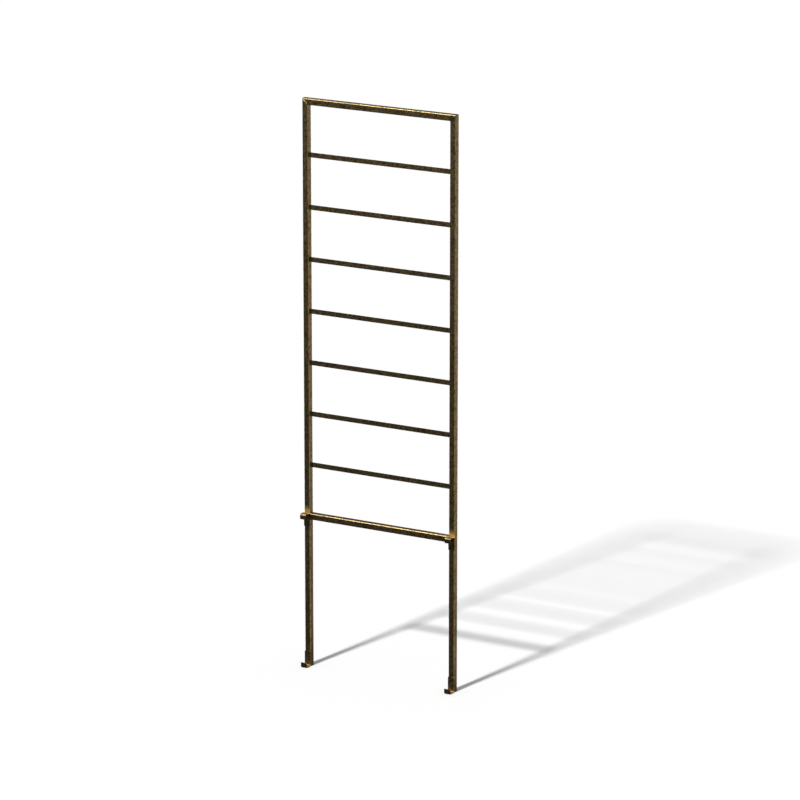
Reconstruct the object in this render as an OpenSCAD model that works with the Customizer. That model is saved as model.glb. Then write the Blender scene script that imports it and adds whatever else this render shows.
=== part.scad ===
// Espalier frame: a welded steel ladder that clips onto the wall of a planter.
// Two square-tube uprights, two tube rails, flat-bar rungs and four bent strip hooks.
// X runs across the width, Y from the hooks' lips to the back, Z up from the floor.

/* [Frame] */
// Overall height, from the floor to the top of the top rail
frame_height = 2220; // [1600:10:2600]
// Overall width over both uprights
frame_width = 656; // [400:2:1200]
// Height of the lower rail's centre line above the floor
lower_rail_height = 600; // [400:5:900]

/* [Square tube] */
// Outside width of the tube
tube_side = 25; // [20:1:40]
// Wall thickness of the tube
tube_wall = 2; // [1.2:0.1:3]
// Outside radius of the tube's corners
tube_corner = 4; // [3.2:0.1:6]

/* [Rungs] */
// Number of rungs between the rails
rung_count = 7; // [3:1:12]
// Height of the flat bar that the rungs are cut from
rung_height = 19; // [12:1:30]
// Thickness of that flat bar
rung_thickness = 3; // [2:0.5:6]

/* [Hooks] */
// Width of the strip that the hooks are bent from
strip_width = 25; // [20:1:32]
// Thickness of the strip
strip_thickness = 3; // [2:0.5:5]
// Inside radius of the strip's bends
bend_radius = 5; // [3:0.5:8]
// Distance from an upright's front face to the outside of a hook's lip
hook_reach = 32; // [28:1:60]
// Height of a hook's lip, measured over the outside of the bend
hook_lip = 21; // [15:1:40]
// Length of a foot hook's leg, up the front of the upright
foot_leg = 60; // [30:1:100]
// Length of an upper hook's leg, down the front of the upright
upper_leg = 55; // [30:1:100]
// Clear height between the foot hooks and the upper hooks
hook_clear_height = 610; // [400:5:900]

/* [Welds] */
// Leg of the fillet welds
fillet_leg = 3; // [2:0.5:5]
// Width of the bead along each mitre
seam_width = 5; // [3:0.5:8]
// Height of that bead over the tube's face
seam_rise = 1; // [0.5:0.1:1.4]

/* [Foot plugs] */
// Height of the plug in the foot of each upright
plug_height = 22; // [14:1:40]
// Thickness of the plug's closed base
plug_base = 3; // [2:0.5:5]
// Wall thickness of the plug's hollow shank
plug_wall = 2; // [1.5:0.1:3]
// Gap between the plug's shank and the inside of the tube
plug_gap = 0.8; // [0.4:0.1:1]
// Thickness of the ribs round the shank
plug_rib = 1.2; // [0.8:0.1:2]
// Clearance of the base and the ribs in the tube
plug_clearance = 0.15; // [0.05:0.05:0.3]

/* [Hidden] */
function rung_name(i) = str("rung_", i);

$fn = 96;
bronze = [0.27, 0.23, 0.15];
weld_bronze = [0.42, 0.35, 0.22];
plug_black = [0.08, 0.08, 0.08];
sides = [["left", -1], ["right", 1]];
mitre_angle = 45;

// How far a trimming shape runs past the tube that it trims
overrun = tube_side;
// Part of the tube's corner radius that a groove weld fills
groove_share = 0.75;
plug_rib_count = 3;

// The tube's section
inner_side = tube_side - 2 * tube_wall;
inner_corner = tube_corner - tube_wall;
tube_flat = tube_side - 2 * tube_corner;

// Places of the tubes; the depth is centred on the origin
frame_depth = hook_reach + tube_side + seam_rise;
tube_y = frame_depth / 2 - seam_rise - tube_side / 2;
front_y = tube_y - tube_side / 2;
back_y = tube_y + tube_side / 2;
outer_x = frame_width / 2;
upright_x = outer_x - tube_side / 2;
inner_x = outer_x - tube_side;
top_rail_z = frame_height - tube_side / 2;
top_rail_under = frame_height - tube_side;
lower_rail_top = lower_rail_height + tube_side / 2;
lower_rail_under = lower_rail_height - tube_side / 2;

// Rungs share the height between the rails in equal clear gaps, counted from the top
rung_gap = (top_rail_under - lower_rail_top - rung_count * rung_height) / (rung_count + 1);
function rung_under(i) = top_rail_under - i * (rung_gap + rung_height);

// Hooks
bend_outer = bend_radius + strip_thickness;
upper_hook_top = hook_clear_height + 2 * strip_thickness;

// Welds
groove_leg = tube_corner * groove_share;
groove_edge = min(strip_width, tube_side) / 2;
seam_length = tube_flat * sqrt(2);
seam_radius = (seam_width * seam_width / 4 + seam_rise * seam_rise) / (2 * seam_rise);

// Plugs
plug_side = inner_side - 2 * plug_clearance;
plug_corner = inner_corner - plug_clearance;
shank_side = inner_side - 2 * plug_gap;
shank_corner = max(inner_corner - plug_gap, plug_clearance);
rib_pitch = (plug_height - plug_base) / plug_rib_count;

// Shared shapes

module rounded_square(side, corner) {
    square([side, side - 2 * corner], center = true);
    square([side - 2 * corner, side], center = true);
    for (x = [-1, 1], y = [-1, 1])
        translate([x, y] * (side / 2 - corner)) circle(corner);
}

module tube_section() {
    difference() {
        rounded_square(tube_side, tube_corner);
        rounded_square(inner_side, inner_corner);
    }
}

// A tube along X, centred on the frame
module tube_across(length, z) {
    translate([0, tube_y, z])
        rotate([90, 0, 90])
            linear_extrude(length, center = true) tube_section();
}

// Draws on the right-hand side, or mirrors to the left
module on_side(side) {
    if (side < 0) mirror([1, 0, 0]) children();
    else children();
}

// An outline in X and Z, drawn out through the tubes' depth
module through_depth(depth) {
    translate([0, tube_y, 0])
        rotate([90, 0, 0])
            linear_extrude(depth, center = true) children();
}

module fillet_outline(leg) {
    polygon([[0, 0], [leg, 0], [0, leg]]);
}

// Uprights and rails

module upright(side) {
    color(bronze) on_side(side)
        intersection() {
            translate([upright_x, tube_y, 0]) linear_extrude(frame_height) tube_section();
            through_depth(tube_side + overrun) polygon([
                [inner_x, 0],
                [outer_x, 0],
                [outer_x, frame_height],
                [inner_x, top_rail_under],
            ]);
        }
}

module top_rail() {
    color(bronze)
        intersection() {
            tube_across(frame_width, top_rail_z);
            through_depth(tube_side + overrun) polygon([
                [-inner_x, top_rail_under],
                [inner_x, top_rail_under],
                [outer_x, frame_height],
                [-outer_x, frame_height],
            ]);
        }
}

module lower_rail() {
    color(bronze) tube_across(2 * inner_x, lower_rail_height);
}

// Rungs

module rung(i) {
    color(bronze)
        translate([-inner_x, tube_y - rung_thickness / 2, rung_under(i)])
            cube([2 * inner_x, rung_thickness, rung_height]);
}

// Hooks

// A block with its two lower corners rounded
module trough(width, height, corner) {
    translate([0, corner]) square([width, height - corner]);
    translate([corner, 0]) square([width - 2 * corner, height]);
    for (x = [corner, width - corner])
        translate([x, corner]) circle(corner);
}

// The bent strip from the side: leg at 0, lip at the reach, base at the bottom
module strip_outline(leg) {
    inside = hook_reach - 2 * strip_thickness;
    difference() {
        trough(hook_reach, leg, bend_outer);
        translate([strip_thickness, strip_thickness]) trough(inside, leg, bend_radius);
        translate([strip_thickness, hook_lip]) square([hook_reach, leg]);
    }
}

module bent_strip(leg) {
    rotate([90, 0, -90])
        linear_extrude(strip_width, center = true) strip_outline(leg);
}

module foot_hook(side) {
    color(bronze) on_side(side)
        translate([upright_x, front_y, 0]) bent_strip(foot_leg);
}

module upper_hook(side) {
    color(bronze) on_side(side)
        translate([upright_x, front_y, upper_hook_top])
            mirror([0, 0, 1]) bent_strip(upper_leg);
}

// Welds

// The bead along a mitre, a flat segment of a round rod
module seam_bead() {
    linear_extrude(seam_length, center = true)
        intersection() {
            translate([0, seam_rise - seam_radius]) circle(seam_radius);
            translate([-seam_width / 2, 0]) square([seam_width, seam_rise]);
        }
}

module corner_weld(side) {
    color(weld_bronze) on_side(side) {
        translate([upright_x, front_y, top_rail_z]) rotate([180, mitre_angle, 0]) seam_bead();
        translate([upright_x, back_y, top_rail_z]) rotate([0, mitre_angle, 0]) seam_bead();
        through_depth(tube_flat)
            translate([inner_x, top_rail_under]) rotate(180) fillet_outline(fillet_leg);
    }
}

module rung_welds(side) {
    color(weld_bronze) on_side(side)
        for (i = [1:rung_count], face = [0, 1])
            translate([inner_x, tube_y, rung_under(i)])
                mirror([0, face, 0])
                    translate([0, rung_thickness / 2, 0])
                        mirror([1, 0, 0])
                            linear_extrude(rung_height) fillet_outline(fillet_leg);
}

// Fill between one rounded corner of an upright and the flat face beside it
module corner_groove(edge, length) {
    linear_extrude(length)
        difference() {
            translate([edge - groove_leg, -tube_side / 2]) square(groove_leg);
            rounded_square(tube_side, tube_corner);
        }
}

module lower_rail_weld(side) {
    color(weld_bronze) on_side(side) {
        through_depth(tube_flat) {
            translate([inner_x, lower_rail_top]) rotate(90) fillet_outline(fillet_leg);
            translate([inner_x, lower_rail_under]) rotate(180) fillet_outline(fillet_leg);
        }
        for (face = [0, 1])
            translate([upright_x, tube_y, lower_rail_height - tube_flat / 2])
                mirror([0, face, 0])
                    mirror([1, 0, 0]) corner_groove(tube_side / 2, tube_flat);
    }
}

// Welds of one hook, drawn for a leg that stands up from its base
module hook_weld(leg) {
    for (edge = [0, 1])
        translate([0, tube_side / 2, bend_outer])
            mirror([edge, 0, 0]) corner_groove(groove_edge, leg - bend_outer);
    translate([0, 0, leg])
        rotate([90, 0, -90])
            linear_extrude(tube_flat, center = true) fillet_outline(strip_thickness);
}

module foot_hook_weld(side) {
    color(weld_bronze) on_side(side)
        translate([upright_x, front_y, 0]) hook_weld(foot_leg);
}

// The stretch of an upright's front inner corner that the lower rail's weld takes
module rail_weld_zone() {
    translate([inner_x, front_y, lower_rail_height - tube_flat / 2])
        cube([tube_side / 2, tube_side / 2, tube_flat]);
}

module upper_hook_weld(side) {
    color(weld_bronze) on_side(side)
        difference() {
            translate([upright_x, front_y, upper_hook_top])
                mirror([0, 0, 1]) hook_weld(upper_leg);
            rail_weld_zone();
        }
}

// Foot plugs

module foot_plug(side) {
    color(plug_black) on_side(side)
        translate([upright_x, tube_y, 0])
            difference() {
                union() {
                    linear_extrude(plug_base) rounded_square(plug_side, plug_corner);
                    linear_extrude(plug_height) rounded_square(shank_side, shank_corner);
                    for (i = [1:plug_rib_count])
                        translate([0, 0, plug_base + i * rib_pitch - plug_rib])
                            linear_extrude(plug_rib) rounded_square(plug_side, plug_corner);
                }
                translate([0, 0, plug_base])
                    linear_extrude(plug_height) square(shank_side - 2 * plug_wall, center = true);
            }
}

// Assembly

top_rail();
lower_rail();
for (i = [1:rung_count])
    rung(i);
for (s = sides) {
    upright(s[1]);
    foot_hook(s[1]);
    upper_hook(s[1]);
    corner_weld(s[1]);
    rung_welds(s[1]);
    lower_rail_weld(s[1]);
    foot_hook_weld(s[1]);
    upper_hook_weld(s[1]);
    foot_plug(s[1]);
}
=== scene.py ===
import math

import bpy
from mathutils import Matrix, Vector


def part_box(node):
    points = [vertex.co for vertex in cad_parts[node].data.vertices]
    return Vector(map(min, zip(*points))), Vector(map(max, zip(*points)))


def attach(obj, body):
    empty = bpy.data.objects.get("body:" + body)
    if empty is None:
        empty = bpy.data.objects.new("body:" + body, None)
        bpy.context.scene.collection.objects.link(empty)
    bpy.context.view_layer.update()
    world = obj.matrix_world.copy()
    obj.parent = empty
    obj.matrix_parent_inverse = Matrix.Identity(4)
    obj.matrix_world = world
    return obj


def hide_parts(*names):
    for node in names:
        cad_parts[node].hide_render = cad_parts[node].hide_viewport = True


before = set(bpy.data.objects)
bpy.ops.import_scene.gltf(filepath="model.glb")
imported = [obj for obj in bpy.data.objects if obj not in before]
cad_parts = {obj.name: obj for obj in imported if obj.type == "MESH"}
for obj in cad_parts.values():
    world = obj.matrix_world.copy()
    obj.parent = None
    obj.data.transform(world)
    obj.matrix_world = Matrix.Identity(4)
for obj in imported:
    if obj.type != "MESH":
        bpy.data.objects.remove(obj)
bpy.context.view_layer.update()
scene = bpy.context.scene
scene.view_settings.view_transform = "Standard"
print("frame loaded:", len(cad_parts), "nodes")


# camera, at the photograph's angle

photoCamera = {
    "azimuth": 29.905,
    "elevation": 15.05,
    "distance": 16.624,
    "aim": (0.0857, 0.0155, 1.1092),
    "lens": 200,
    "sensor": 36,
    "sightEnd": 500,
}


def directionTo(azimuth, elevation):  # from the frame to what stands at these angles, in degrees
    turn, rise = math.radians(azimuth), math.radians(elevation)
    return Vector((math.sin(turn) * math.cos(rise), -math.cos(turn) * math.cos(rise), math.sin(rise)))


def placeCamera():
    back = directionTo(photoCamera["azimuth"], photoCamera["elevation"])
    bpy.ops.object.camera_add(location=Vector(photoCamera["aim"]) + back * photoCamera["distance"])
    camera = bpy.context.object
    camera.name = "photoCamera"
    camera.rotation_euler = (-back).to_track_quat("-Z", "Y").to_euler()
    camera.data.lens = photoCamera["lens"]
    camera.data.sensor_width = photoCamera["sensor"]
    camera.data.clip_end = photoCamera["sightEnd"]
    scene.camera = camera


placeCamera()
print("camera placed")


# small helpers for modelling

mergeDistance = 0.000001


def deselectAll():
    if bpy.context.mode != "OBJECT":
        bpy.ops.object.mode_set(mode="OBJECT")
    bpy.ops.object.select_all(action="DESELECT")


def pickOnly(piece):
    deselectAll()
    piece.select_set(True)
    bpy.context.view_layer.objects.active = piece


def startEdit(selectMode="EDGE"):
    bpy.ops.object.mode_set(mode="EDIT")
    bpy.ops.mesh.select_mode(type=selectMode)
    bpy.ops.mesh.select_all(action="SELECT")


def pushOut(x, y, z):
    bpy.ops.mesh.extrude_region_move(TRANSFORM_OT_translate={"value": (x, y, z)})


def closeUp():  # merge, then turn all faces outwards
    bpy.ops.mesh.select_all(action="SELECT")
    bpy.ops.mesh.remove_doubles(threshold=mergeDistance)
    bpy.ops.mesh.delete_loose()
    bpy.ops.mesh.select_all(action="SELECT")
    bpy.ops.mesh.normals_make_consistent(inside=False)


def softenEdges(stock):  # bevels the sharp edges, by the values in the stock's dictionary
    bpy.ops.mesh.select_mode(type="EDGE")
    bpy.ops.mesh.select_all(action="DESELECT")
    bpy.ops.mesh.edges_select_sharp(sharpness=math.radians(stock["sharpAbove"]))
    bpy.ops.mesh.bevel(offset=stock["edge"], segments=stock["edgeSteps"], affect="EDGES")


def settle(piece, smoothBelow):  # place goes into the mesh, rounded parts shade smoothly
    pickOnly(piece)
    bpy.ops.object.transform_apply(location=True, rotation=True, scale=True)
    bpy.ops.object.shade_smooth_by_angle(angle=math.radians(smoothBelow))


def copyOf(piece, name):  # a copy with its own mesh
    pickOnly(piece)
    bpy.ops.object.duplicate(linked=False)
    double = bpy.context.object
    double.name = double.data.name = name
    return double


def standFor(piece, node):
    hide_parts(node)
    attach(piece, "root")


# rungs: flat bar with softened edges

rungBar = {"count": 7, "edge": 0.0006, "edgeSteps": 3, "sharpAbove": 60, "smoothBelow": 12}


def drawRung():
    low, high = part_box("rung_1")
    deselectAll()
    bpy.ops.mesh.primitive_cube_add(size=1, location=(low + high) / 2)
    bar = bpy.context.object
    bar.name = bar.data.name = "rungBar1"
    startEdit()
    bpy.ops.transform.resize(value=high - low, center_override=(low + high) / 2)
    softenEdges(rungBar)
    settle(bar, rungBar["smoothBelow"])
    return bar


def makeRungs():
    bars = [drawRung()]
    for number in range(2, rungBar["count"] + 1):
        bar = copyOf(bars[0], "rungBar%d" % number)
        bar.location.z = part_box("rung_%d" % number)[0].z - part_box("rung_1")[0].z
        settle(bar, rungBar["smoothBelow"])
        bars.append(bar)
    for number, bar in enumerate(bars, 1):
        standFor(bar, "rung_%d" % number)
    return bars


rungs = makeRungs()
print("rungs made:", len(rungs))


# hooks: strip drawn from its cut end and bent twice

hookStrip = {
    "thickness": 0.003,
    "bendRadius": 0.005,
    "lip": 0.021,
    "bendSteps": 16,
    "edge": 0.0005,
    "edgeSteps": 3,
    "sharpAbove": 60,
    "smoothBelow": 12,
}
outerBend = hookStrip["thickness"] + hookStrip["bendRadius"]
hookLevels = (("foot", 1), ("upper", -1))  # way 1 has the base at the bottom, -1 at the top


def turnStrip(way, centre):
    bpy.ops.mesh.spin(steps=hookStrip["bendSteps"], angle=way * math.pi / 2, center=centre, axis=(1, 0, 0))


def bendHook(name, node, way):
    low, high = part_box(node)
    middle = (low.x + high.x) / 2
    thick = hookStrip["thickness"]
    legEnd, base = (high.z, low.z) if way > 0 else (low.z, high.z)
    reach, leg = high.y - low.y, high.z - low.z
    cutEnd = Vector((middle, high.y - thick / 2, legEnd))
    deselectAll()
    bpy.ops.mesh.primitive_plane_add(size=1, location=cutEnd)
    strip = bpy.context.object
    strip.name = strip.data.name = name
    startEdit("FACE")
    bpy.ops.transform.resize(value=(high.x - low.x, thick, 1), center_override=cutEnd)
    pushOut(0, 0, -way * (leg - outerBend))
    turnStrip(way, (middle, high.y - outerBend, base + way * outerBend))
    pushOut(0, -(reach - 2 * outerBend), 0)
    turnStrip(way, (middle, low.y + outerBend, base + way * outerBend))
    pushOut(0, 0, way * (hookStrip["lip"] - outerBend))
    closeUp()
    softenEdges(hookStrip)
    settle(strip, hookStrip["smoothBelow"])
    return strip


def makeHooks():
    pieces = []
    for level, way in hookLevels:
        leftNode, rightNode = "left_%s_hook" % level, "right_%s_hook" % level
        left = bendHook("left%sStrip" % level.title(), leftNode, way)
        right = copyOf(left, "right%sStrip" % level.title())
        right.location.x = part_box(rightNode)[0].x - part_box(leftNode)[0].x
        settle(right, hookStrip["smoothBelow"])
        standFor(left, leftNode)
        standFor(right, rightNode)
        pieces += [left, right]
    return pieces


hooks = makeHooks()
print("hooks bent:", len(hooks))


# weld beads: a row of leaning drops, melted into one skin and cut back near the faces it lies on

weldBead = {
    "pitch": 0.0017,
    "fewest": 3,
    "overlap": 2.6,  # length of a drop, in steps of the row
    "lean": 16,
    "segments": 24,
    "rings": 14,
    "voxel": 0.00032,
    "root": 0.00027,  # how deep the cut is under the face
    "cutDistance": 0.0000005,
    "smoothBelow": 60,
}


def drawBead(name, length, wide, high, cuts=()):  # along X, its ripples across it
    count = max(weldBead["fewest"], round(length / weldBead["pitch"]))
    half = length / count * weldBead["overlap"] / 2
    lean = math.radians(weldBead["lean"])
    # leaning, a drop is as high as asked
    tall = math.sqrt(high ** 2 - (half * math.sin(lean)) ** 2) / math.cos(lean)
    first = Vector((-length / 2 + half, 0, 0))
    segments, rings = weldBead["segments"], weldBead["rings"]
    deselectAll()
    bpy.ops.mesh.primitive_uv_sphere_add(segments=segments, ring_count=rings, radius=1, location=first)
    bead = bpy.context.object
    bead.name = bead.data.name = name
    startEdit()
    bpy.ops.transform.resize(value=(half, wide, tall), center_override=first)
    bpy.ops.transform.rotate(value=lean, orient_axis="Y", center_override=first)
    bpy.ops.object.mode_set(mode="OBJECT")
    meltRow(bead, count, (length - 2 * half) / (count - 1))
    startEdit()
    for keep in cuts:
        cutBead(keep)
    closeUp()
    settle(bead, weldBead["smoothBelow"])
    return bead


def meltRow(bead, count, step):
    row = bead.modifiers.new("row", "ARRAY")
    row.count = count
    row.use_relative_offset = False
    row.use_constant_offset = True
    row.constant_offset_displace = (step, 0, 0)
    skin = bead.modifiers.new("skin", "REMESH")
    skin.mode = "VOXEL"
    skin.voxel_size = weldBead["voxel"]
    bpy.ops.object.modifier_apply(modifier="row")
    bpy.ops.object.modifier_apply(modifier="skin")


def cutBead(keep):  # keep points to the side that stays
    bpy.ops.mesh.select_all(action="SELECT")
    bpy.ops.mesh.bisect(
        plane_co=Vector(keep) * -weldBead["root"],
        plane_no=keep,
        clear_inner=True,
        use_fill=True,
        threshold=weldBead["cutDistance"],
    )


def layBead(pattern, place, sideways, up):  # both directions lead away from the corner line
    run = copyOf(pattern, pattern.name + "Run")
    sideways, up = Vector(sideways), Vector(up)
    turn = Matrix((sideways.cross(up), sideways, up)).transposed().to_4x4()
    run.matrix_world = Matrix.Translation(place) @ turn
    settle(run, weldBead["smoothBelow"])
    return run


def joinBeads(runs, name, node):
    deselectAll()
    for run in runs:
        run.select_set(True)
    bpy.context.view_layer.objects.active = runs[0]
    bpy.ops.object.join()
    whole = bpy.context.object
    whole.name = whole.data.name = name
    standFor(whole, node)
    return whole


# bead patterns: each is drawn at its first use, and copied for every place that it closes

tubeFlat = 0.017  # between a tube's rounded corners
fillet = {"leg": 0.003, "rungLength": 0.019, "rungWide": 0.0024}
seam = {"length": 0.024, "half": 0.0024, "rise": 0.00098}
grooveRod = {"radius": 0.0010, "inset": 0.0011, "intoRailWeld": 0.004}
onFace, inCorner = ((0, 0, 1),), ((0, 0, 1), (0, 1, 0))  # the sides of the bead that stay
patterns = {}


def patternOf(name, length, wide, high, cuts=()):
    key = (name, round(length / mergeDistance))
    if key not in patterns:
        patterns[key] = drawBead(name, length, wide, high, cuts)
    return patterns[key]


def tubeFillet():
    return patternOf("tubeFillet", tubeFlat, fillet["leg"], fillet["leg"], inCorner)


def rungFillet():
    return patternOf("rungFillet", fillet["rungLength"], fillet["rungWide"], fillet["leg"], inCorner)


def mitreSeam():
    return patternOf("mitreSeam", seam["length"], seam["half"], seam["rise"], onFace)


def grooveFill(length):  # beside a tube's rounded corner
    return patternOf("grooveFill", length, grooveRod["radius"], grooveRod["radius"])


# welds of each joint

toTop, toFloor, toFront, toBack = (0, 0, 1), (0, 0, -1), (0, -1, 0), (0, 1, 0)


def cornersOf(word, side):  # lines on an upright that beads lie along
    low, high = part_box(word + "_upright")
    inner, outer = (high.x, low.x) if side < 0 else (low.x, high.x)
    return {
        "side": side,
        "front": low.y,
        "back": high.y,
        "depth": (low.y + high.y) / 2,
        "middle": (low.x + high.x) / 2,
        "inner": inner,
        "innerGroove": inner + side * grooveRod["inset"],
        "outerGroove": outer - side * grooveRod["inset"],
        "frontGroove": low.y + grooveRod["inset"],
        "inward": (-side, 0, 0),
        "outward": (side, 0, 0),
    }


def weldMitre(word, post):  # front and back seams, and the fillet inside the corner
    low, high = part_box("top_rail")
    level = (low.z + high.z) / 2
    across = Vector((post["side"], 0, -1)).normalized()
    runs = [
        layBead(mitreSeam(), (post["middle"], post["front"], level), across, toFront),
        layBead(mitreSeam(), (post["middle"], post["back"], level), across, toBack),
        layBead(tubeFillet(), (post["inner"], post["depth"], low.z), post["inward"], toFloor),
    ]
    return joinBeads(runs, word + "MitreBead", word + "_corner_weld")


def weldRungs(word, post):  # one fillet on each face of each end
    runs = []
    for number in range(1, rungBar["count"] + 1):
        low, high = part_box("rung_%d" % number)
        level = (low.z + high.z) / 2
        runs.append(layBead(rungFillet(), (post["inner"], low.y, level), post["inward"], toFront))
        runs.append(layBead(rungFillet(), (post["inner"], high.y, level), post["inward"], toBack))
    return joinBeads(runs, word + "RungBeads", word + "_rung_welds")


def weldRail(word, post):  # fillets over and under, and the grooves in front and behind
    low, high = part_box("lower_rail")
    level = (low.z + high.z) / 2
    groove, inset = post["innerGroove"], grooveRod["inset"]
    runs = [
        layBead(tubeFillet(), (post["inner"], post["depth"], high.z), post["inward"], toTop),
        layBead(tubeFillet(), (post["inner"], post["depth"], low.z), post["inward"], toFloor),
        layBead(grooveFill(tubeFlat), (groove, low.y + inset, level), post["inward"], toFront),
        layBead(grooveFill(tubeFlat), (groove, high.y - inset, level), post["inward"], toBack),
    ]
    return joinBeads(runs, word + "RailBead", word + "_lower_rail_weld")


def weldHook(word, post, level, way):  # the leg's end, and both sides of its straight part
    node = "%s_%s_hook" % (word, level)
    low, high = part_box(node)
    if way > 0:
        end, bottom, top = high.z, low.z + outerBend, high.z
        innerTop = top
    else:
        end, bottom, top = low.z, low.z, high.z - outerBend
        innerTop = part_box("lower_rail")[0].z + grooveRod["intoRailWeld"]  # the rail has its own weld there
    runs = [
        layBead(tubeFillet(), (post["middle"], post["front"], end), toFront, (0, 0, way)),
        standRod(post["outerGroove"], post["frontGroove"], bottom, top, post["outward"]),
        standRod(post["innerGroove"], post["frontGroove"], bottom, innerTop, post["inward"]),
    ]
    return joinBeads(runs, "%s%sHookBead" % (word, level.title()), node + "_weld")


def standRod(x, y, bottom, top, sideways):
    return layBead(grooveFill(top - bottom), (x, y, (bottom + top) / 2), sideways, toFront)


def makeWelds():
    beads = []
    for word, side in (("left", -1), ("right", 1)):
        post = cornersOf(word, side)
        beads += [weldMitre(word, post), weldRungs(word, post), weldRail(word, post)]
        beads += [weldHook(word, post, level, way) for level, way in hookLevels]
    for pattern in patterns.values():
        bpy.data.objects.remove(pattern)
    return beads


welds = makeWelds()
print("weld beads laid:", len(welds))


# foot plugs: the moulded insert with softened edges

footPlug = {"flatBelow": 1, "edge": 0.0003, "edgeSteps": 2, "sharpAbove": 50, "smoothBelow": 35}


def softenPlug(word):
    node = word + "_foot_plug"
    plug = copyOf(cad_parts[node], word + "PlugInsert")
    for key in list(plug.keys()):
        del plug[key]
    plug.parent = None
    plug.data.materials.clear()
    startEdit()
    bpy.ops.mesh.customdata_custom_splitnormals_clear()
    bpy.ops.mesh.remove_doubles(threshold=mergeDistance)
    bpy.ops.mesh.dissolve_limited(angle_limit=math.radians(footPlug["flatBelow"]))
    softenEdges(footPlug)
    settle(plug, footPlug["smoothBelow"])
    standFor(plug, node)
    return plug


plugs = [softenPlug("left"), softenPlug("right")]
print("plugs made:", len(plugs))


# small helpers for node trees

def feed(tree, socket, value):  # a number or a colour is set, an output is linked
    if isinstance(value, (int, float, tuple)):
        socket.default_value = value
    else:
        tree.links.new(value, socket)


def newGroup(name, inputs, outputs):  # with its inputs and its outputs, as seen from inside
    group = bpy.data.node_groups.new(name, "ShaderNodeTree")
    for label, value in inputs.items():
        socket = group.interface.new_socket(name=label, in_out="INPUT", socket_type="NodeSocketFloat")
        socket.default_value = value
    for label in outputs:
        group.interface.new_socket(name=label, in_out="OUTPUT", socket_type="NodeSocketFloat")
    return group, group.nodes.new("NodeGroupInput").outputs, group.nodes.new("NodeGroupOutput").inputs


def addMath(tree, operation, first, second=None, clamp=False):
    node = tree.nodes.new("ShaderNodeMath")
    node.operation = operation
    node.use_clamp = clamp
    feed(tree, node.inputs[0], first)
    if second is not None:
        feed(tree, node.inputs[1], second)
    return node.outputs[0]


def addProduct(tree, product, *factors):
    for factor in factors:
        product = addMath(tree, "MULTIPLY", product, factor)
    return product


def addRange(tree, value, low, high, toLow=0.0, toHigh=1.0):
    node = tree.nodes.new("ShaderNodeMapRange")
    node.interpolation_type = "SMOOTHSTEP"
    feed(tree, node.inputs["Value"], value)
    for label, amount in (("From Min", low), ("From Max", high), ("To Min", toLow), ("To Max", toHigh)):
        feed(tree, node.inputs[label], amount)
    return node.outputs["Result"]


def addParts(tree, coordinate):  # X, Y and Z of a place or a normal
    coords = tree.nodes.new("ShaderNodeTexCoord")
    parts = tree.nodes.new("ShaderNodeSeparateXYZ")
    feed(tree, parts.inputs["Vector"], coords.outputs[coordinate])
    return parts.outputs


def addNoise(tree, scale, detail, roughness=0.55):
    coords = tree.nodes.new("ShaderNodeTexCoord")
    node = tree.nodes.new("ShaderNodeTexNoise")
    feed(tree, node.inputs["Vector"], coords.outputs["Object"])
    feed(tree, node.inputs["Scale"], scale)
    feed(tree, node.inputs["Detail"], detail)
    feed(tree, node.inputs["Roughness"], roughness)
    return node.outputs["Fac"]


def addMix(tree, share, first, second):
    node = tree.nodes.new("ShaderNodeMix")
    node.data_type = "RGBA"
    shareSlot, firstSlot, secondSlot, resultSlot = 0, 6, 7, 2  # the sockets for colours
    feed(tree, node.inputs[shareSlot], share)
    feed(tree, node.inputs[firstSlot], first)
    feed(tree, node.inputs[secondSlot], second)
    return node.outputs[resultSlot]


# shared finish effects, as node groups

coatMottle = {
    "inputs": {"Cloud Scale": 14, "Grain Scale": 120},
    "cloudDetail": 4,
    "grainDetail": 3,
    "grainRoughness": 0.6,
    "spread": (0.36, 0.64),
}


def makeMottle():  # slow clouds and small dark patches in the coat
    group, given, out = newGroup("coatMottle", coatMottle["inputs"], ("Clouds", "Grain"))
    clouds = addNoise(group, given["Cloud Scale"], coatMottle["cloudDetail"])
    grain = addNoise(group, given["Grain Scale"], coatMottle["grainDetail"], coatMottle["grainRoughness"])
    feed(group, out["Clouds"], addRange(group, clouds, *coatMottle["spread"]))
    feed(group, out["Grain"], addRange(group, grain, *coatMottle["spread"]))
    return group


metalFlecks = {
    "inputs": {"Scale": 620, "Bright Above": 0.58, "Dark Below": 0.42},
    "detail": 2,
    "roughness": 0.7,
    "blur": 0.08,
}


def makeFlecks():  # metal flecks of uneven size and outline, bright and dark
    group, given, out = newGroup("metalFlecks", metalFlecks["inputs"], ("Bright", "Dark"))
    specks = addNoise(group, given["Scale"], metalFlecks["detail"], metalFlecks["roughness"])
    brightFull = addMath(group, "ADD", given["Bright Above"], metalFlecks["blur"])
    darkFull = addMath(group, "SUBTRACT", given["Dark Below"], metalFlecks["blur"])
    feed(group, out["Bright"], addRange(group, specks, given["Bright Above"], brightFull))
    feed(group, out["Dark"], addRange(group, specks, given["Dark Below"], darkFull))
    return group


edgeRubAndHighlight = {
    "inputs": {"Upward": 0.8, "Upright": 0.25, "Flat Top": 0.0, "Breakup Scale": 70},
    "rounded": (0.99, 0.90),  # of the largest part of the normal
    "upward": (0.1, 0.4),
    "upright": (-0.35, -0.05),
    "flatTop": (0.5, 0.95),
    "front": (0.1, -0.2),  # painted highlight on front edges, none at the back
    # painted highlight: left corners get less of it than right ones, as if lit from the right
    "right": (-0.3, 0.1),
    "leftShare": 0.3,
    "breakupDetail": 3,
    "breakup": (0.33, 0.6),
    "breakupShares": (0.4, 1.15),
}


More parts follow.
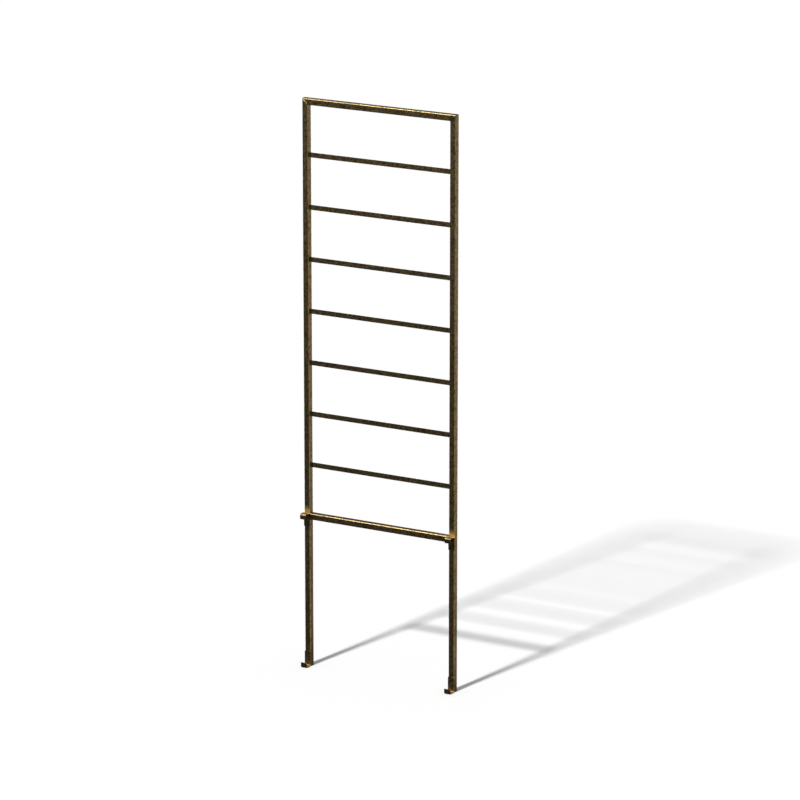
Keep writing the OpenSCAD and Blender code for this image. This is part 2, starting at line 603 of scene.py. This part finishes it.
def makeEdgeRubAndHighlight():  # worn bare bronze and painted highlight on rounded edges, more on those that face up, front and right, and painted highlight on flats that face up
    group, given, out = newGroup("edgeRubAndHighlight", edgeRubAndHighlight["inputs"], ("Mask",))
    x, y, z = addParts(group, "Normal")
    sizes = [addMath(group, "ABSOLUTE", part) for part in (x, y, z)]
    largest = addMath(group, "MAXIMUM", addMath(group, "MAXIMUM", sizes[0], sizes[1]), sizes[2])
    rounded = addRange(group, largest, *edgeRubAndHighlight["rounded"])
    upward = addProduct(group, addRange(group, z, *edgeRubAndHighlight["upward"]), given["Upward"])
    upright = addProduct(
        group,
        addRange(group, z, *edgeRubAndHighlight["upright"]),
        given["Upright"],
        addRange(group, y, *edgeRubAndHighlight["front"]),
        addRange(group, x, *edgeRubAndHighlight["right"], toLow=edgeRubAndHighlight["leftShare"]),
    )
    edges = addProduct(group, rounded, addMath(group, "MAXIMUM", upward, upright))
    flatTop = addProduct(group, addRange(group, z, *edgeRubAndHighlight["flatTop"]), given["Flat Top"])
    amount = addMath(group, "MAXIMUM", edges, flatTop)
    noise = addNoise(group, given["Breakup Scale"], edgeRubAndHighlight["breakupDetail"])
    breakup = addRange(group, noise, *edgeRubAndHighlight["breakup"], *edgeRubAndHighlight["breakupShares"])
    feed(group, out["Mask"], addMath(group, "MULTIPLY", amount, breakup, clamp=True))
    return group


hammerDents = {
    "inputs": {"Dent Scale": 130, "Peel Scale": 700, "Peel Share": 0.3},
    "dentSmoothness": 0.7,
    "peelDetail": 2,
}


def makeHammer():  # shallow dents and orange peel
    group, given, out = newGroup("hammerDents", hammerDents["inputs"], ("Height",))
    coords = group.nodes.new("ShaderNodeTexCoord")
    dents = group.nodes.new("ShaderNodeTexVoronoi")
    dents.feature = "SMOOTH_F1"
    feed(group, dents.inputs["Vector"], coords.outputs["Object"])
    feed(group, dents.inputs["Scale"], given["Dent Scale"])
    feed(group, dents.inputs["Smoothness"], hammerDents["dentSmoothness"])
    peel = addNoise(group, given["Peel Scale"], hammerDents["peelDetail"])
    peelHeight = addProduct(group, peel, given["Peel Share"])
    feed(group, out["Height"], addMath(group, "ADD", dents.outputs["Distance"], peelHeight))
    return group


plateFade = {
    "inputs": {
        "Height": 0.609,
        "Reach": 0.045,
        "Full Share": 0.0,
        "Falloff": 2.3,
        "Front": 0.0045,
        "Lip Side": -0.010,
    },
    "start": (-0.05, 0.02),  # in reaches
    "frontBlur": 0.0015,
    "lipBlur": 0.003,
}


def makePlateFade():  # starts at a hook's plate and fades up or down the face behind it; masks the painted glow and painted shade there
    group, given, out = newGroup("plateFade", plateFade["inputs"], ("Mask",))
    place = addParts(group, "Object")
    way = addMath(group, "DIVIDE", addMath(group, "SUBTRACT", place["Z"], given["Height"]), given["Reach"])
    remaining = addMath(group, "SUBTRACT", 1.0, way)
    fading = addMath(group, "SUBTRACT", 1.0, given["Full Share"])
    amount = addMath(group, "DIVIDE", remaining, fading, clamp=True)
    fade = addMath(group, "POWER", amount, given["Falloff"])
    start = addRange(group, way, *plateFade["start"])
    frontEnd = addMath(group, "ADD", given["Front"], plateFade["frontBlur"])
    front = addRange(group, place["Y"], frontEnd, given["Front"])
    lipEnd = addMath(group, "ADD", given["Lip Side"], plateFade["lipBlur"])
    behindLip = addRange(group, place["Y"], given["Lip Side"], lipEnd)
    feed(group, out["Mask"], addProduct(group, fade, start, front, behindLip))
    return group


undersideShade = {"inputs": {"Amount": 0.9}, "downward": (-0.02, -0.5)}


def makeUnderside():  # painted shade: faces that look down are darker
    group, given, out = newGroup("undersideShade", undersideShade["inputs"], ("Mask",))
    down = addRange(group, addParts(group, "Normal")["Z"], *undersideShade["downward"])
    feed(group, out["Mask"], addProduct(group, down, given["Amount"]))
    return group


patinaByHeight = {"inputs": {"Low": 0.0, "High": 2.2}}


def makeHeightBlend():  # the coat colour is darker towards the feet
    group, given, out = newGroup("patinaByHeight", patinaByHeight["inputs"], ("Share",))
    over = addMath(group, "SUBTRACT", addParts(group, "Object")["Z"], given["Low"])
    span = addMath(group, "SUBTRACT", given["High"], given["Low"])
    feed(group, out["Share"], addMath(group, "DIVIDE", over, span, clamp=True))
    return group


groups = {
    "heightBlend": makeHeightBlend(),
    "mottle": makeMottle(),
    "flecks": makeFlecks(),
    "edge": makeEdgeRubAndHighlight(),
    "hammer": makeHammer(),
    "plate": makePlateFade(),
    "under": makeUnderside(),
}
print("finish groups built:", len(groups))


# materials

def newMaterial(name):
    material = bpy.data.materials.new(name)
    material.use_nodes = True
    tree = material.node_tree
    return material, tree, tree.nodes["Principled BSDF"]


def useGroup(tree, key, values=()):
    node = tree.nodes.new("ShaderNodeGroup")
    node.node_tree = groups[key]
    for label, value in dict(values).items():
        node.inputs[label].default_value = value
    return node.outputs


def roughen(tree, shader, height, distance):
    bump = tree.nodes.new("ShaderNodeBump")
    bump.inputs["Strength"].default_value = 1
    bump.inputs["Distance"].default_value = distance
    feed(tree, bump.inputs["Height"], height)
    feed(tree, shader.inputs["Normal"], bump.outputs["Normal"])


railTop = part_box("lower_rail")[1].z
coreDrop = 0.001  # the core of the painted glow starts this far under the rail's top
coatShares = {
    "clouds": 0.25,
    "patches": 0.8,
    "darkFlecks": 0.7,
    "brightFlecks": 0.10,
    "edges": 1.0,
    "underside": 1.0,
}
tubeFinish = {
    "patinaLow": (0.0272, 0.0194, 0.0087, 1),
    "patinaHigh": (0.0500, 0.0358, 0.0164, 1),
    "cloud": (0.066, 0.0473, 0.0224, 1),
    "gold": (0.93, 0.70, 0.32, 1),
    # dark of random patches and flecks, and painted shade under the hook plates and on undersides
    "sootAndShade": (0.006, 0.0045, 0.0028, 1),
    # painted glow of light bounced off a hook plate, and its brighter core
    "paintedGlow": (0.45, 0.292, 0.087, 1),
    "paintedGlowCore": (0.98, 0.68, 0.300, 1),
    "tint": (0.84, 0.73, 0.61, 1),
    "rubAndHighlight": {"Upward": 1.2, "Upright": 0.15},
    "shares": dict(coatShares, paintedGlow=1.0, paintedGlowCore=0.9),
    "plates": {
        "paintedGlow": {"Height": railTop, "Reach": 0.0385, "Full Share": 0.12, "Lip Side": -0.010},
        "paintedGlowCore": {"Height": railTop - coreDrop, "Reach": 0.0045, "Falloff": 0.6, "Lip Side": -0.016},
    },
    "roughness": (0.34, 0.46),
    "dent": 0.00030,
}
hookFinish = dict(
    tubeFinish,
    patinaLow=(0.0240, 0.0177, 0.0080, 1),
    patinaHigh=(0.0245, 0.0180, 0.0082, 1),
    paintedLegGlow=(0.078, 0.050, 0.0205, 1),
    gold=(0.44, 0.32, 0.148, 1),
    paintedGlow=(0.34, 0.190, 0.050, 1),
    paintedGlowCore=(0.85, 0.57, 0.235, 1),
    # painted highlight on the tops of the hook plates, besides edge wear
    rubAndHighlight={"Upward": 0.9, "Upright": 0.15, "Flat Top": 0.8},
    shares=dict(coatShares, leg=1.0, paintedGlow=0.9, paintedGlowCore=0.9, crook=0.8),
    plates={
        # painted glow on a foot hook's leg, fading up from the floor
        "leg": {"Height": 0.0, "Reach": 0.055, "Falloff": 0.6, "Lip Side": -0.024},
        # painted glow fading up from a foot hook's plate
        "paintedGlow": {"Height": 0.0, "Reach": 0.030, "Lip Side": -0.024},
        "paintedGlowCore": {"Height": railTop - coreDrop, "Reach": 0.010, "Falloff": 0.6, "Lip Side": -0.016},
        # painted shade on the upright under an upper hook's plate
        "crook": {"Height": railTop, "Reach": -0.022, "Falloff": 1.0, "Lip Side": -0.010},
    },
    roughness=(0.55, 0.68),
)
rungFinish = dict(tubeFinish, rubAndHighlight={"Upward": 0.03, "Upright": 0.03}, shares=coatShares, plates={})
weldFinish = dict(
    rungFinish,
    patinaLow=(0.0060, 0.0043, 0.0020, 1),
    cloud=(0.036, 0.0258, 0.0122, 1),
    rubAndHighlight={"Upward": 0.04, "Upright": 0.04},
    roughness=(0.46, 0.58),
    dent=0.00010,
)
# painted highlight: the left mitre bead's coat turns bright gold high up, the right one stays plain
mitreHighlightFinish = dict(
    weldFinish,
    patinaHigh=(0.54, 0.385, 0.160, 1),
    cloud=tubeFinish["cloud"],
    rubAndHighlight={"Upward": 0.3, "Upright": 0.2},
)
paintOrder = (  # which mask lays on which colour
    ("clouds", "cloud"),
    # painted glow on the foot hooks' legs
    ("leg", "paintedLegGlow"),
    ("patches", "sootAndShade"),
    ("darkFlecks", "sootAndShade"),
    ("brightFlecks", "gold"),
    # rounded-edge wear together with a painted highlight
    ("edges", "gold"),
    # painted glow above the hook plates
    ("paintedGlow", "paintedGlow"),
    ("paintedGlowCore", "paintedGlowCore"),
    # painted shade under the hook plates
    ("crook", "sootAndShade"),
    # painted shade on faces that look down
    ("underside", "sootAndShade"),
)


def makeBronze(name, finish):
    material, tree, shader = newMaterial(name)
    mottle, flecks = useGroup(tree, "mottle"), useGroup(tree, "flecks")
    masks = {
        "clouds": mottle["Clouds"],
        "patches": addMath(tree, "SUBTRACT", 1.0, mottle["Grain"]),
        "darkFlecks": flecks["Dark"],
        "brightFlecks": flecks["Bright"],
        "edges": useGroup(tree, "edge", finish["rubAndHighlight"])["Mask"],
        "underside": useGroup(tree, "under")["Mask"],
    }
    for plate, values in finish["plates"].items():
        masks[plate] = useGroup(tree, "plate", values)["Mask"]
    coat = addMix(tree, useGroup(tree, "heightBlend")["Share"], finish["patinaLow"], finish["patinaHigh"])
    for mask, colour in paintOrder:
        if mask in masks:
            coat = addMix(tree, addProduct(tree, masks[mask], finish["shares"][mask]), coat, finish[colour])
    feed(tree, shader.inputs["Base Color"], coat)
    smooth, rough = finish["roughness"]
    feed(tree, shader.inputs["Roughness"], addRange(tree, mottle["Grain"], 0.0, 1.0, rough, smooth))
    roughen(tree, shader, useGroup(tree, "hammer")["Height"], finish["dent"])
    shader.inputs["Metallic"].default_value = 1
    shader.inputs["Specular Tint"].default_value = finish["tint"]
    return material


plugFinish = {
    "black": (0.012, 0.012, 0.012, 1),
    "wornAndSheen": (0.035, 0.034, 0.032, 1),
    "mottle": {"Cloud Scale": 90, "Grain Scale": 1400},
    "rubAndHighlight": {"Upward": 0.4, "Upright": 0.4},
    "roughness": (0.5, 0.68),
    "grain": 0.00005,
}


def makePlugPlastic():
    material, tree, shader = newMaterial("plugPlastic")
    mottle = useGroup(tree, "mottle", plugFinish["mottle"])
    coat = addMix(tree, mottle["Clouds"], plugFinish["black"], plugFinish["wornAndSheen"])
    # wear and painted highlight on the plug's edges, as on the metal
    coat = addMix(tree, useGroup(tree, "edge", plugFinish["rubAndHighlight"])["Mask"], coat, plugFinish["wornAndSheen"])
    feed(tree, shader.inputs["Base Color"], coat)
    smooth, rough = plugFinish["roughness"]
    feed(tree, shader.inputs["Roughness"], addRange(tree, mottle["Grain"], 0.0, 1.0, smooth, rough))
    roughen(tree, shader, mottle["Grain"], plugFinish["grain"])
    return material


def dress(pieces, material):
    for piece in pieces:
        piece.data.materials.clear()
        piece.data.materials.append(material)


tubes = [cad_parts[name] for name in ("left_upright", "right_upright", "top_rail", "lower_rail")]
# the left mitre bead carries a painted highlight
highlightedMitreBeads = [bead for bead in welds if bead.name == "leftMitreBead"]
plainBeads = [bead for bead in welds if bead not in highlightedMitreBeads]
dress(tubes, makeBronze("tubeBronze", tubeFinish))
dress(rungs, makeBronze("rungBronze", rungFinish))
dress(hooks, makeBronze("hookBronze", hookFinish))
dress(plainBeads, makeBronze("weldBronze", weldFinish))
dress(highlightedMitreBeads, makeBronze("highlightedMitreBronze", mitreHighlightFinish))
dress(plugs, makePlugPlastic())
print("materials on")


# floor and studio light

studio = {
    "floorSize": 240,
    "floorColour": (0.9, 0.9, 0.9, 1),
    "keyAzimuth": -8.0,
    "keyElevation": 43.7,
    "keyDistance": 8,
    "keyPower": 3.5,
    "keySpread": 4.7,
    "panels": [  # two behind for the sides of the tubes, one in front for their upper ends
        {"name": "sidePanel", "place": (0.45, 0.78, 1.15), "turn": 165, "size": (1.3, 2.3), "power": 19},
        {"name": "fillPanel", "place": (-1.05, -1.75, 1.95), "turn": -31, "size": (1.5, 1.5), "power": 4},
        {"name": "lowPanel", "place": (0.10, 0.19, 0.09), "turn": 165, "size": (1.0, 0.18), "power": 0.6},
    ],
    "skyColour": (1, 1, 1, 1),
    "skyRise": (0.04, 0.45),
    "horizon": 1.0,
    "zenith": 0.30,
}


def layFloor():
    deselectAll()
    bpy.ops.mesh.primitive_plane_add(size=studio["floorSize"], location=(0, 0, 0))
    floor = bpy.context.object
    floor.name = "studioFloor"
    material, tree, shader = newMaterial("paleFloor")
    shader.inputs["Base Color"].default_value = studio["floorColour"]
    shader.inputs["Roughness"].default_value = 1
    shader.inputs["Specular IOR Level"].default_value = 0
    dress([floor], material)
    return floor


def hangKey():
    back = directionTo(studio["keyAzimuth"], studio["keyElevation"])
    bpy.ops.object.light_add(type="SUN", location=back * studio["keyDistance"])
    key = bpy.context.object
    key.name = "keyLight"
    key.rotation_euler = (-back).to_track_quat("-Z", "Y").to_euler()
    key.data.energy = studio["keyPower"]
    key.data.angle = math.radians(studio["keySpread"])


def hangPanels(floor):
    notFloor = bpy.data.collections.new("panelsMissFloor")  # keeps the frame's shadow on the floor
    notFloor.objects.link(floor)
    notFloor.collection_objects[0].light_linking.link_state = "EXCLUDE"
    for panel in studio["panels"]:
        bpy.ops.object.light_add(type="AREA", location=panel["place"])
        lamp = bpy.context.object
        lamp.name = panel["name"]
        lamp.rotation_euler = (math.pi / 2, 0, math.radians(panel["turn"]))
        lamp.data.shape = "RECTANGLE"
        lamp.data.size, lamp.data.size_y = panel["size"]
        lamp.data.energy = panel["power"]
        lamp.visible_camera = False
        lamp.light_linking.receiver_collection = notFloor


def softenSky():  # white at the horizon, darker overhead
    world = bpy.data.worlds.new("softStudio")
    world.use_nodes = True
    scene.world = world
    tree = world.node_tree
    sky = tree.nodes["Background"]
    height = addParts(tree, "Generated")["Z"]
    level = addRange(tree, height, *studio["skyRise"], studio["horizon"], studio["zenith"])
    feed(tree, sky.inputs["Strength"], level)
    feed(tree, sky.inputs["Color"], studio["skyColour"])


studioFloor = layFloor()
hangKey()
hangPanels(studioFloor)
softenSky()
print("floor and lights set")

deselectAll()
